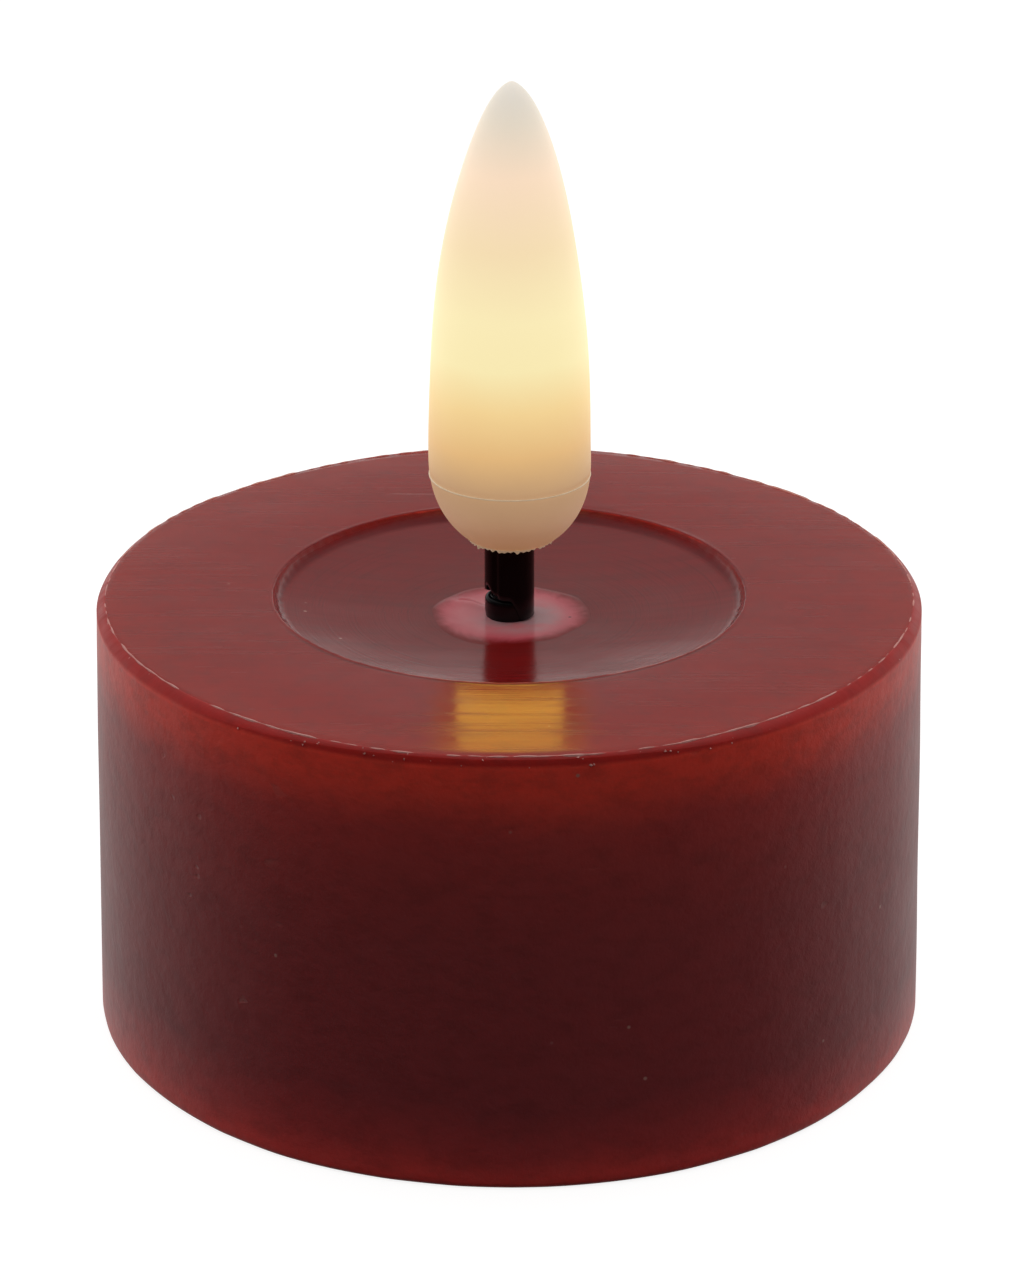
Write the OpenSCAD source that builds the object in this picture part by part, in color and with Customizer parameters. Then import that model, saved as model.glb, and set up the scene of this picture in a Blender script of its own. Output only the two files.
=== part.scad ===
// Flameless LED candle: a low body of real wax, closed from below by a plastic battery module,
// with a black wick that carries a translucent flame lit from inside.
// Millimetres, +Z up. The origin is on the floor under the flame, and the front faces -Y.

/* [Wax body] */
// Height of the wax
body_h = 21.7; // [21.5:0.1:24]
// Radius of the wax at its top
rim_r = 20; // [19.6:0.1:22]
// Radius of the wax at its foot
foot_r = 20.43; // [20:0.01:22.5]
// Radius of the melted well in the top
well_r = 11.45; // [9:0.05:14]
// Depth of the well at the wick
well_depth = 1.35; // [1.1:0.05:1.5]
// Height of the steep edge round the well
well_lip_h = 0.5; // [0.3:0.05:0.6]

/* [Flame] */
// Height of the flame's tip above the floor
flame_tip_z = 47.1; // [45:0.1:50]
// Height at which the flame is widest
flame_wide_z = 28.7; // [28.6:0.05:28.9]
// Height of the ring seam between the bowl and the cap of the flame
flame_seam_z = 27.75; // [27.7:0.05:27.8]
// Largest radius of the flame
flame_r = 3.91; // [3.6:0.01:4.4]
// Depth of the bowl's curve below the flame's widest place; its end is cut off flat
flame_bowl_h = 4.85; // [4.7:0.05:5]

/* [Wick] */
// Radius of the black sleeve
wick_r = 1.21; // [1.15:0.01:1.3]
// Height at which the sleeve starts, on top of the post
sleeve_z = 21.5; // [21.3:0.1:22]

/* [Coin cell] */
// Diameter of the coin cell
cell_d = 24.5; // [24.2:0.1:24.5]
// Height of the coin cell
cell_h = 5; // [4.9:0.05:5]

/* [Battery door] */
// Turn of the door between locked and free, in degrees
door_turn = 40; // [36:1:44]
// Width of a bayonet lug, in degrees
lug_turn = 24; // [18:1:26]

/* [Switch] */
// Travel of the switch knob
switch_travel = 2; // [1.6:0.1:2]
// Length of the switch body
switch_l = 8.6; // [8.4:0.1:8.8]
// Width of the switch body
switch_w = 3.8; // [3.6:0.1:3.8]

/* [Hidden] */
$fn = 96;

// Clearances: a loose fit, a close fit, a hairline between pieces that touch, and how far a cut
// runs past a face
loose = 0.2;
close = 0.1;
hairline = 0.03;
through = 1;

// Heights of the plastic module, from the floor up
base_z = 0.2;
ledge_top = base_z + 1;
flange_top = base_z + 1.6;
groove_top = ledge_top + 1;
door_top = groove_top - close;
cell_z = door_top + close / 2;
cell_top = cell_z + cell_h;
spigot_top = base_z + 3.2;
ceiling_z = 8.5;
ceiling_top = 9.3;
board_z = ceiling_top + close;
board_top = board_z + 1;
cup_roof_z = 15.4;
cup_top = 16.4;
cavity_top = cup_top + loose;
tower_top = 18.5;
plug_z = tower_top + close;
tail_top = board_top + 0.8;
mark_depth = 0.15;

// Radii of the plastic module
cavity_r = 17.5;
module_r = cavity_r - loose;
cup_wall = 1;
cup_inner_r = module_r - cup_wall;
spigot_r = cup_inner_r - close;
plug_hole_r = 4.05;
tower_r = 2.3;
post_r = wick_r - 0.08;
socket_top = flame_wide_z - flame_bowl_h + 2.5;
tube_wall = 0.27;

// Battery bay, set off centre to leave room for the switch
bay_x = -1.9;
cell_r = cell_d / 2;
bay_r = cell_r + 0.3;
bay_outer_r = 13.4;
door_r = 12.5;
door_hole_r = door_r + loose;
lug_r = 13.45;
entry_r = lug_r + 0.08;
groove_r = 13.62;
ring_outer_r = 14.2;
lugs = 3;
entry_angles = [for (i = [0 : lugs - 1]) 60 + i * 360 / lugs];
entry_turn = lug_turn + 4;
spigot_wall = 1;

// Stakes that hold the board, at the two sides of the bay
stake_y = 9.6;
stake_r = 0.7;
stake_head_r = 1.15;

// Screws, at the two sides of the switch
screw_x = 11.2;
screw_y = 8.7;
screw_boss_r = 1.9;
screw_r = 0.9;
screw_hole_r = 1;
screw_pilot_r = 0.92;
screw_head_r = 1.75;
screw_head_z = base_z + mark_depth;
screw_tip_z = 9;

// Slide switch, under the board near the rim
switch_x = 13.6;
switch_z = 4.7;
switch_base_z = 8.65;
switch_wall = 0.3;
knob_w = 1.5;
knob_l = 2;
knob_z = base_z + 0.3;
slot_w = knob_w + 2 * loose;
slot_l = knob_l + switch_travel + 2 * loose;
slider_rest_y = switch_travel / 2;
switch_pin_pitch = 2.5;
switch_pin_ys = [-switch_pin_pitch, 0, switch_pin_pitch];
switch_pin_r = 0.29;

// Contacts, bent from strip
strip_w = 4;
positive_t = 0.25;
negative_t = 0.2;
positive_y = bay_outer_r + 0.35;
negative_x = -8;

// Lamp: a 3 mm LED inside the flame
led_r = 1.5;
led_flange_r = 1.9;
led_z = flame_seam_z + close;
led_flange_top = led_z + 1;
led_dome_z = led_z + 3.8;
leg_x = 0.55;
leg_r = 0.25;
frame_z = led_flange_top + 0.3;
frame_top = frame_z + 1.1;
chip_side = 0.5;
chip_h = 0.25;

// How flat the middle of the well's floor is before it curves up to the edge
dish_power = 3;

// Flame outline: the exponents that shape the tapering cap and the full bowl
cap_belly = 2.15;
cap_point = 0.62;
bowl_belly = 2.3;
cap_steps = 30;
bowl_steps = 14;
flame_foot_z = flame_wide_z - flame_bowl_h;
flame_neck_r = 2.05;

// Coin cell: the wall of its can and cap, their radii, and the heights of what lies between them
can_wall = 0.3;
can_h = 0.92 * cell_h;
cap_z = 0.64 * cell_h;
cathode_top = 0.58 * cell_h;
anode_z = 0.62 * cell_h;
cap_r = cell_r - 1.55;
gasket_r = cell_r - can_wall - close / 2;

// Places and sizes of the parts on the board, above its top
part_z = board_top + hairline;
chip_pos = [-5.6, -6.9];
chip_size = [4.9, 3.9];
crystal_pos = [-7.5, 6.3];
resistor_ys = [-8.2, -5.6];
resistor_x = 4.5;
capacitor_pos = [6.5, 4.6];
small_part_size = [2, 1.25];

// Outlines
function arc(cx, cy, r, from, to, steps = 6) =
    [for (i = [0 : steps]) let (a = from + (to - from) * i / steps) [cx + r * cos(a), cy + r * sin(a)]];
function cap_point_at(t) = [flame_r * pow(1 - pow(t, cap_belly), cap_point),
    flame_wide_z + t * (flame_tip_z - flame_wide_z)];
function bowl_point_at(z) = [flame_r * sqrt(1 - pow((flame_wide_z - z) / flame_bowl_h, bowl_belly)), z];
function dish_z(r) = body_h - well_depth + (well_depth - well_lip_h) * pow(r / well_r, dish_power);

// A solid disc and a tube between two heights
module disc(r, z0, z1) {
    translate([0, 0, z0]) cylinder(r = r, h = z1 - z0);
}
module tube(outer, inner, z0, z1) {
    difference() {
        disc(outer, z0, z1);
        disc(inner, z0 - through, z1 + through);
    }
}

// A block centred on x and y, between two heights
module block(size, z0, z1) {
    translate([-size[0] / 2, -size[1] / 2, z0]) cube([size[0], size[1], z1 - z0]);
}

// A bar or slot with round ends, along y
module stadium(width, length, z0, z1) {
    straight = length - width;
    block([width, straight], z0, z1);
    for (side = [-1, 1])
        translate([0, side * straight / 2, 0]) disc(width / 2, z0, z1);
}

// A wedge of a ring, centred on an angle
module ring_part(inner, outer, angle, width, z0, z1) {
    rotate([0, 0, angle - width / 2])
        rotate_extrude(angle = width)
            translate([inner, z0]) square([outer - inner, z1 - z0]);
}

// Sheet metal bent through a list of points in the x-z plane, centred on y
module bent_strip(points, thick, width) {
    rotate([90, 0, 0])
        linear_extrude(height = width, center = true)
            for (i = [0 : len(points) - 2]) {
                leg = points[i + 1] - points[i];
                translate(points[i]) {
                    rotate(atan2(leg[1], leg[0]))
                        translate([0, -thick / 2]) square([norm(leg), thick]);
                    circle(d = thick, $fn = 24);
                }
            }
}

module at_bay() {
    translate([bay_x, 0, 0]) children();
}
module at_screws() {
    for (side = [-1, 1])
        translate([screw_x, side * screw_y, 0]) children();
}
module at_switch() {
    translate([switch_x, 0, 0]) children();
}

// Wax ------------------------------------------------------------------------------------

module wax_shell() {
    foot_round = 0.35;
    rim_round = 0.25;
    lip_in = 0.3;
    dish_steps = 10;
    dish_r = well_r - lip_in;
    color("#6b1a1a")
        rotate_extrude()
            polygon(concat(
                [[cavity_r, 0]],
                arc(foot_r - foot_round, foot_round, foot_round, -90, 0),
                arc(rim_r - rim_round, body_h - rim_round, rim_round, 0, 90),
                arc(well_r + rim_round, body_h - rim_round, rim_round, 90, 180),
                [for (i = [0 : dish_steps])
                    let (r = dish_r + (plug_hole_r - dish_r) * i / dish_steps) [r, dish_z(r)]],
                [[plug_hole_r, cavity_top], [cavity_r, cavity_top]]
            ));
}

module wax_plug() {
    plug_r = plug_hole_r - hairline;
    bore_r = post_r + hairline;
    steps = 5;
    color("#a34a50")
        rotate_extrude()
            polygon(concat(
                [[bore_r, plug_z], [plug_r, plug_z]],
                [for (i = [0 : steps]) let (r = plug_r + (bore_r - plug_r) * i / steps) [r, dish_z(r)]]
            ));
}

// Wick -----------------------------------------------------------------------------------

module wick_post() {
    color("#101010") tube(post_r, post_r - tube_wall, cup_roof_z, sleeve_z - close / 2);
}

module stem_sleeve() {
    color("#0c0c0c") tube(wick_r, wick_r - tube_wall, sleeve_z, socket_top - close / 2);
}

// Flame ----------------------------------------------------------------------------------

module flame_base() {
    sleeve_room = wick_r + hairline;
    top = flame_seam_z - hairline;
    low = flame_foot_z + 0.65;
    neck_z = low - close;
    color("#d9a877")
        difference() {
            union() {
                rotate_extrude()
                    polygon(concat(
                        [[0, top]],
                        [for (i = [0 : bowl_steps]) bowl_point_at(top + (low - top) * i / bowl_steps)],
                        [[0, low]]
                    ));
                disc(flame_neck_r, neck_z, low + loose);
            }
            disc(sleeve_room, neck_z - through, socket_top);
            for (side = [-1, 1])
                translate([side * leg_x, 0, 0]) disc(leg_r + hairline, neck_z, top + through);
        }
}

module flame_shell() {
    shell_steps = 4;
    tip_crowding = 1.6;
    color("#f4dcb4")
        difference() {
            rotate_extrude()
                polygon(concat(
                    [[0, flame_seam_z]],
                    [for (i = [0 : shell_steps - 1])
                        bowl_point_at(flame_seam_z + (flame_wide_z - flame_seam_z) * i / shell_steps)],
                    [for (i = [0 : cap_steps]) cap_point_at(1 - pow(1 - i / cap_steps, tip_crowding))]
                ));
            disc(led_flange_r + close, flame_seam_z - through, led_flange_top + close);
            disc(led_r + close, flame_seam_z, led_dome_z);
            translate([0, 0, led_dome_z]) sphere(r = led_r + close);
        }
}

// Lamp -----------------------------------------------------------------------------------

// The two leads: one ends in the anvil that carries the chip, the other in a thin post beside it
module led_frame_shapes() {
    anvil = [0.9, 0.6];
    post = [0.3, 0.5];
    for (side = [-1, 1])
        translate([side * leg_x, 0, 0]) disc(leg_r, board_z + close, frame_z + loose);
    translate([leg_x / 2, 0, 0]) block(anvil, frame_z, frame_top);
    translate([-leg_x - close, 0, 0]) block(post, frame_z, frame_top);
}

module led_chip_shape() {
    translate([leg_x / 2, 0, 0]) block([chip_side, chip_side], frame_top, frame_top + chip_h);
}

module led_lens() {
    color("#fff3c4")
        difference() {
            union() {
                disc(led_flange_r, led_z, led_flange_top);
                disc(led_r, led_z, led_dome_z);
                translate([0, 0, led_dome_z]) sphere(r = led_r);
            }
            led_frame_shapes();
            led_chip_shape();
        }
}

module led_chip() {
    color("#ffd84a") led_chip_shape();
}

module led_legs() {
    color("#c9ccd1") led_frame_shapes();
}

// Plastic module -------------------------------------------------------------------------

module housing_cup() {
    rib_r = 0.4;
    rib_out = module_r + 0.15;
    ribs = 6;
    boss_z = spigot_top + loose;
    pilot_top = 12;
    color("#1b1b1d")
        difference() {
            union() {
                tube(module_r, cup_inner_r, flange_top, cup_top);
                disc(module_r, cup_roof_z, cup_top);
                disc(tower_r, cup_roof_z, tower_top);
                at_screws() disc(screw_boss_r, boss_z, cup_roof_z);
                for (i = [0 : ribs - 1])
                    rotate([0, 0, (i + 0.5) * 360 / ribs])
                        translate([rib_out - rib_r, 0, 0])
                            disc(rib_r, flange_top + loose, cup_top - 2 * rib_r);
            }
            disc(post_r + close / 2, cup_roof_z - through, tower_top + through);
            at_screws() disc(screw_pilot_r, boss_z - through, pilot_top);
        }
}

// A bar for on and a ring for off, sunk into the base beyond the two ends of the switch slot
module base_marks() {
    mark_y = 4.7;
    bar = [0.35, 1.3];
    ring_r = 0.7;
    mark_top = base_z + mark_depth;
    translate([0, mark_y, 0]) block(bar, 0, mark_top);
    translate([0, -mark_y, 0]) tube(ring_r, ring_r - bar[0], 0, mark_top);
}

// Places of the two stakes
module at_stakes() {
    at_bay()
        for (side = [-1, 1])
            translate([0, side * stake_y, 0]) children();
}

module base_plate() {
    finger_w = 3.2;
    finger_l = 6.2;
    finger_top = base_z + 0.6;
    pillar_top = spigot_top + close;
    stake_head_h = 0.45;
    window = [strip_w + 3 * loose, 2 * (bay_outer_r - bay_r) + through];
    window_z = spigot_top + loose;
    window_top = 7.8;
    tail_slot = [0.8, strip_w + 2 * loose];
    counterbore_h = 1.1;
    color("#202023")
        difference() {
            union() {
                disc(module_r, base_z, flange_top);
                tube(spigot_r, spigot_r - spigot_wall, flange_top, spigot_top);
                at_bay() disc(ring_outer_r, base_z, spigot_top);
                at_bay() disc(bay_outer_r, spigot_top, ceiling_top);
                at_screws() disc(screw_boss_r, flange_top, pillar_top);
                at_stakes() {
                    disc(stake_r, ceiling_z, part_z + stake_head_h);
                    disc(stake_head_r, part_z, part_z + stake_head_h);
                }
            }
            at_bay() {
                disc(door_hole_r, base_z - through, ledge_top + through);
                disc(groove_r, ledge_top, groove_top);
                disc(bay_r, groove_top - through, ceiling_z);
                for (angle = entry_angles)
                    ring_part(door_r, entry_r, angle, entry_turn, base_z - through, ledge_top + close);
                translate([0, bay_outer_r, 0]) block(window, window_z, window_top);
                translate([negative_x, 0, 0])
                    block(tail_slot, ceiling_z - through, ceiling_top + through);
            }
            at_screws() {
                disc(screw_hole_r, base_z - through, pillar_top + through);
                disc(screw_head_r + loose, base_z - through, base_z + counterbore_h);
            }
            at_switch() {
                stadium(slot_w, slot_l, base_z - through, flange_top + through);
                stadium(finger_w, finger_l, base_z - through, finger_top);
                base_marks();
            }
        }
}

module battery_door() {
    coin_slot_l = 12;
    coin_slot_w = 2;
    coin_slot_h = 1;
    arrow_y = 9;
    arrow_r = 1;
    arrow_depth = 0.2;
    lug_root_r = door_r - 0.5;
    lug_z = ledge_top + close;
    color("#202023")
        at_bay()
            difference() {
                union() {
                    disc(door_r, base_z, door_top);
                    for (angle = entry_angles)
                        ring_part(lug_root_r, lug_r, angle + door_turn, lug_turn, lug_z, door_top);
                }
                rotate([0, 0, 90])
                    stadium(coin_slot_w, coin_slot_l, base_z - through, base_z + coin_slot_h);
                translate([0, arrow_y, base_z - through])
                    rotate([0, 0, 90]) cylinder(r = arrow_r, h = through + arrow_depth, $fn = 3);
            }
}

module housing_screws() {
    drive = [0.35, 2.2];
    drive_depth = 0.45;
    drive_angle = 20;
    head_h = 0.75;
    point_h = 0.8;
    point_r = 0.25;
    point_z = screw_tip_z - point_h;
    color("#b9bcc0")
        at_screws()
            difference() {
                union() {
                    disc(screw_head_r, screw_head_z, screw_head_z + head_h);
                    disc(screw_r, screw_head_z, point_z);
                    translate([0, 0, point_z]) cylinder(r1 = screw_r, r2 = point_r, h = point_h);
                }
                for (angle = [drive_angle, drive_angle + 90])
                    rotate([0, 0, angle])
                        block(drive, screw_head_z - through, screw_head_z + drive_depth);
            }
}

// Coin cell, plus side down --------------------------------------------------------------

module cell_can() {
    corner = 0.5;
    lip_r = cell_r - 0.95;
    inner_r = cell_r - can_wall;
    color("#c4c7ca")
        at_bay()
            translate([0, 0, cell_z])
                rotate_extrude()
                    polygon(concat(
                        [[0, 0]],
                        arc(cell_r - corner, corner, corner, -90, 0),
                        arc(inner_r, can_h - can_wall, can_wall, 0, 90),
                        [[lip_r, can_h], [lip_r, can_h - can_wall], [inner_r, can_h - can_wall],
                            [inner_r, can_wall], [0, can_wall]]
                    ));
}

module cell_gasket() {
    bore_r = cap_r + close / 2;
    neck_r = cell_r - 1;
    shoulder_z = can_h - can_wall - close / 2;
    color("#2b3a4a")
        at_bay()
            translate([0, 0, cell_z]) {
                tube(gasket_r, bore_r, cap_z + close, shoulder_z);
                tube(neck_r, bore_r, shoulder_z - hairline, can_h + close / 2);
            }
}

module cell_cap() {
    cap_corner = 0.4;
    color("#d2d4d6")
        at_bay()
            translate([0, 0, cell_z])
                rotate_extrude()
                    polygon(concat(
                        [[cap_r, cap_z]],
                        arc(cap_r - cap_corner, cell_h - cap_corner, cap_corner, 0, 90),
                        [[0, cell_h], [0, cell_h - can_wall], [cap_r - can_wall, cell_h - can_wall],
                            [cap_r - can_wall, cap_z]]
                    ));
}

module cell_cathode() {
    color("#26262a") at_bay() disc(gasket_r, cell_z + can_wall + close / 2, cell_z + cathode_top);
}

module cell_anode() {
    color("#9a9ca0")
        at_bay() disc(cap_r - can_wall - close, cell_z + anode_z, cell_top - can_wall - close / 2);
}

// Contacts -------------------------------------------------------------------------------

// Its tail goes through the board, and its finger turns back up and leans on the side of the cell
module positive_contact() {
    finger_y = cell_r + positive_t / 2 + hairline;
    path = [[positive_y, tail_top], [positive_y, 4.4], [positive_y - 0.4, 3.85], [positive_y - 0.9, 3.95],
        [finger_y, 5.3], [finger_y + 0.3, 6.9]];
    color("#d7c27a")
        at_bay() rotate([0, 0, 90]) bent_strip(path, positive_t, strip_w);
}

// It lies under the ceiling of the bay and bends down to the middle of the cell
module negative_contact() {
    touch_z = cell_top + negative_t / 2 + hairline;
    under_z = ceiling_z - loose;
    path = [[negative_x, tail_top], [negative_x, under_z], [-5.2, under_z], [0, touch_z],
        [2.6, touch_z + 0.6]];
    color("#d7c27a")
        at_bay() bent_strip(path, negative_t, strip_w);
}

// Board and what is soldered to it -------------------------------------------------------

// Cuts round the contact tails, and round the lamp's leads and the switch pins
module tail_slots(extra) {
    at_bay() {
        translate([0, positive_y, 0]) block([strip_w + extra, positive_t + extra], 0, cup_roof_z);
        translate([negative_x, 0, 0]) block([negative_t + extra, strip_w + extra], 0, cup_roof_z);
    }
}

module pin_holes(extra) {
    for (side = [-1, 1])
        translate([side * leg_x, 0, 0]) disc(leg_r + extra, 0, cup_roof_z);
    at_switch()
        for (y = switch_pin_ys)
            translate([0, y, 0]) disc(switch_pin_r + extra, 0, cup_roof_z);
}

module circuit_board() {
    board_r = 15.8;
    color("#1f6b3a")
        difference() {
            disc(board_r, board_z, board_top);
            at_screws() disc(screw_boss_r + loose, board_z - through, board_top + through);
            at_stakes() disc(stake_r + close / 2, board_z - through, board_top + through);
            tail_slots(loose);
            pin_holes(close / 2);
        }
}

module timer_chip() {
    notch_r = 0.4;
    notch_depth = 0.2;
    low = board_top + 0.15;
    top = board_top + 1.6;
    color("#161618")
        translate([chip_pos[0], chip_pos[1], 0])
            difference() {
                block(chip_size, low, top);
                translate([-chip_size[0] / 2, 0, 0]) disc(notch_r, top - notch_depth, top + through);
            }
}

// Gull-wing pins: a shoulder out of the body, a drop to the board, and a foot
module chip_pins() {
    pins_a_side = 4;
    pitch = 1.27;
    pin_w = 0.4;
    pin_t = 0.2;
    shoulder = 0.5;
    foot = 0.5;
    shoulder_z = board_top + 0.75;
    body_y = chip_size[1] / 2 + hairline;
    color("#c9ccd1")
        translate([chip_pos[0], chip_pos[1], 0])
            for (i = [0 : pins_a_side - 1], side = [0, 180])
                rotate([0, 0, side])
                    translate([(i - (pins_a_side - 1) / 2) * pitch - pin_w / 2, body_y, 0]) {
                        translate([0, 0, shoulder_z]) cube([pin_w, shoulder + pin_t, pin_t]);
                        translate([0, shoulder, part_z]) cube([pin_w, pin_t, shoulder_z + pin_t - part_z]);
                        translate([0, shoulder, part_z]) cube([pin_w, pin_t + foot, pin_t]);
                    }
}

module resistors() {
    color("#2a2a2e")
        for (y = resistor_ys)
            translate([resistor_x, y, 0]) block(small_part_size, part_z, board_top + 0.55);
}

module capacitor() {
    color("#b08a5a")
        translate([capacitor_pos[0], capacitor_pos[1], 0])
            block(small_part_size, part_z, board_top + 1);
}

module timer_crystal() {
    can_r = 1;
    can_l = 6;
    wire_r = 0.15;
    wire_l = 1.4;
    wire_y = 0.35;
    color("#c9ccd1")
        translate([crystal_pos[0], crystal_pos[1], part_z + can_r])
            rotate([0, 90, 0]) {
                cylinder(r = can_r, h = can_l, center = true);
                for (side = [-1, 1])
                    translate([0, side * wire_y, can_l / 2]) cylinder(r = wire_r, h = wire_l);
            }
}

// A cone of solder round each wire, and a low block round each contact tail
module solder_joints() {
    solder_h = 0.5;
    solder_top = part_z + solder_h;
    tail_solder = [strip_w + 1, 1.5];
    color("#d8dade")
        difference() {
            union() {
                for (side = [-1, 1])
                    translate([side * leg_x, 0, part_z]) cylinder(r1 = 0.5, r2 = 0.35, h = solder_h);
                at_switch()
                    for (y = switch_pin_ys)
                        translate([0, y, part_z]) cylinder(r1 = 0.9, r2 = 0.45, h = solder_h);
                at_bay() {
                    translate([0, positive_y, 0]) block(tail_solder, part_z, solder_top);
                    translate([negative_x, 0, 0])
                        rotate([0, 0, 90]) block(tail_solder, part_z, solder_top);
                }
            }
            tail_slots(hairline);
            pin_holes(hairline);
        }
}

// Slide switch ---------------------------------------------------------------------------

module switch_frame() {
    inner = [switch_w - 2 * switch_wall, switch_l - 2 * switch_wall];
    color("#b9bcc0")
        at_switch()
            difference() {
                block([switch_w, switch_l], switch_z, switch_base_z - hairline);
                block(inner, switch_z + switch_wall, switch_base_z + through);
                block([slot_w, slot_l], switch_z - through, switch_z + through);
            }
}

module switch_base() {
    color("#6b4a2b")
        at_switch()
            difference() {
                block([switch_w, switch_l], switch_base_z, board_z - hairline);
                for (y = switch_pin_ys)
                    translate([0, y, 0])
                        disc(switch_pin_r + hairline, switch_base_z - through, board_z + through);
            }
}

module switch_pins() {
    pad = [1.6, 1.2];
    pad_h = 0.25;
    pad_top = switch_base_z - hairline;
    color("#d7d2c0")
        at_switch()
            for (y = switch_pin_ys)
                translate([0, y, 0]) {
                    block(pad, pad_top - pad_h, pad_top);
                    disc(switch_pin_r, pad_top - pad_h / 2, tail_top);
                }
}

module switch_slider() {
    shuttle = [switch_w - 2 * switch_wall - 2 * loose, 4];
    shuttle_z = switch_z + switch_wall + close;
    shuttle_top = 7;
    grooves = 3;
    groove_pitch = 0.6;
    groove = [knob_w + through, 0.25];
    color("#e9e7e0")
        at_switch()
            translate([0, slider_rest_y, 0])
                difference() {
                    union() {
                        block(shuttle, shuttle_z, shuttle_top);
                        stadium(knob_w, knob_l, knob_z, shuttle_z + close);
                    }
                    for (i = [0 : grooves - 1])
                        translate([0, (i - (grooves - 1) / 2) * groove_pitch, 0])
                            block(groove, 0, knob_z + mark_depth);
                }
}

// A spring bridge on the shuttle, whose two raised ends join neighbouring pins
module switch_wiper() {
    wiper_t = 0.2;
    wiper_w = 1.6;
    foot_z = 7.13;
    touch_z = switch_base_z - 0.45;
    path = [[-1.75, touch_z], [-1.2, foot_z], [1.2, foot_z], [1.75, touch_z]];
    color("#d7c27a")
        at_switch()
            translate([0, slider_rest_y, 0])
                rotate([0, 0, 90]) bent_strip(path, wiper_t, wiper_w);
}

wax_shell();
wax_plug();
wick_post();
stem_sleeve();
flame_base();
flame_shell();
led_lens();
led_chip();
led_legs();
housing_cup();
base_plate();
battery_door();
housing_screws();
cell_can();
cell_cap();
cell_gasket();
cell_cathode();
cell_anode();
positive_contact();
negative_contact();
circuit_board();
timer_chip();
chip_pins();
resistors();
capacitor();
timer_crystal();
solder_joints();
switch_frame();
switch_base();
switch_pins();
switch_wiper();
switch_slider();
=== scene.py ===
"""Looks of the flameless LED candle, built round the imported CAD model. All lengths are in metres."""

import math

import bpy
import numpy as np
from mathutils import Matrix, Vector, noise


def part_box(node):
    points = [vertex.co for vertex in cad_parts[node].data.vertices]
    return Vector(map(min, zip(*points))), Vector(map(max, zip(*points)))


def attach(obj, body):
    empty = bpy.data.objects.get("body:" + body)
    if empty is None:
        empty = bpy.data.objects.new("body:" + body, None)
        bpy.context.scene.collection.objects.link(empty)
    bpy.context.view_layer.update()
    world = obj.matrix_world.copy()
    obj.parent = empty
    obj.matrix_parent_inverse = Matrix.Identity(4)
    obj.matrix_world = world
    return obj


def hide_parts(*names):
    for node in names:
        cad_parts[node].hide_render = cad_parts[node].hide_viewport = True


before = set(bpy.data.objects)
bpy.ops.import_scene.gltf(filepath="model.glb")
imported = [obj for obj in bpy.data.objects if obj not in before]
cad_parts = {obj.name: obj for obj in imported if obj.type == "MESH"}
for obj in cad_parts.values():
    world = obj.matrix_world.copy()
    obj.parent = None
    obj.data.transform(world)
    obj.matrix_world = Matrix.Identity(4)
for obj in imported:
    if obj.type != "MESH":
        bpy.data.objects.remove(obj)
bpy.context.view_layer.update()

MM = 0.001
TURN = 2 * math.pi
ON_AXIS = 1e-9  # a radius up to this counts as 0

# Places read from the frame
_, WAX_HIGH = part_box("wax_shell")
FOOT_R = WAX_HIGH.x
TOP_Z = WAX_HIGH.z
PLUG_LOW, PLUG_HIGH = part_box("wax_plug")
PLUG_R = PLUG_HIGH.x
POST_LOW, POST_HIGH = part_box("wick_post")
POST_R = POST_HIGH.x
SLEEVE_LOW, SLEEVE_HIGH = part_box("stem_sleeve")
SLEEVE_R = SLEEVE_HIGH.x
CAP_LOW, CAP_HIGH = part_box("flame_shell")
FLAME_R = CAP_HIGH.x
SEAM_Z = CAP_LOW.z
TIP_Z = CAP_HIGH.z
BOWL_LOW, BOWL_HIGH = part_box("flame_base")
LENS_LOW, LENS_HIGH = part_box("led_lens")

# Sizes of the wax and the flame that the frame's boxes don't give, as in the CAD model
RIM_R = 20.0 * MM
WELL_R = 11.45 * MM
WELL_DEPTH = 1.35 * MM
WELL_LIP = 0.5 * MM
CAVITY_R = 17.5 * MM
CAVITY_TOP = 16.6 * MM
DISH_POWER = 3
FLAME_WIDE_Z = 28.7 * MM
FLAME_FOOT_Z = 23.85 * MM
BOWL_BELLY = 2.3
CAP_BELLY = 2.15
CAP_POINT = 0.62

# Sizes that only the looks have: the flame's cut foot, the widest bevel and the seal's mean reach
FLAME_CUT_Z = BOWL_LOW.z + 0.1 * MM
RIM_BEVEL = 0.6 * MM
SEAL_R = 4.0 * MM

SETTLED = (0.198, 0.009, 0.009)  # colour of the well's floor, which the seal fades into


# Meshes -----------------------------------------------------------------------------------


def arc(cx, cz, radius, start, end, steps):
    """Points (r, z) along an arc, with its angles in degrees."""
    angles = np.radians(np.linspace(start, end, steps + 1))
    return [(cx + radius * math.cos(a), cz + radius * math.sin(a)) for a in angles]


def line(start, end, steps):
    """Points (r, z) along a line, without its last point."""
    return [tuple(np.array(start) + (np.array(end) - start) * i / steps) for i in range(steps)]


def polar(points):
    """The radius and the angle of each point about Z."""
    return np.hypot(points[:, 0], points[:, 1]), np.arctan2(points[:, 1], points[:, 0])


def around(r, z, angle):
    """Points at radius r and height z, one for each angle."""
    return np.stack([r * np.cos(angle), r * np.sin(angle), z + 0 * angle], axis=-1)


def ring_faces(rings, sides, closed=True, first=0):
    """Quads from each ring of points to the next, and from the last to the first if closed."""
    faces = []
    for i in range(rings if closed else rings - 1):
        low, high = first + i * sides, first + (i + 1) % rings * sides
        for j in range(sides):
            k = (j + 1) % sides
            faces.append((low + j, low + k, high + k, high + j))
    return faces


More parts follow.
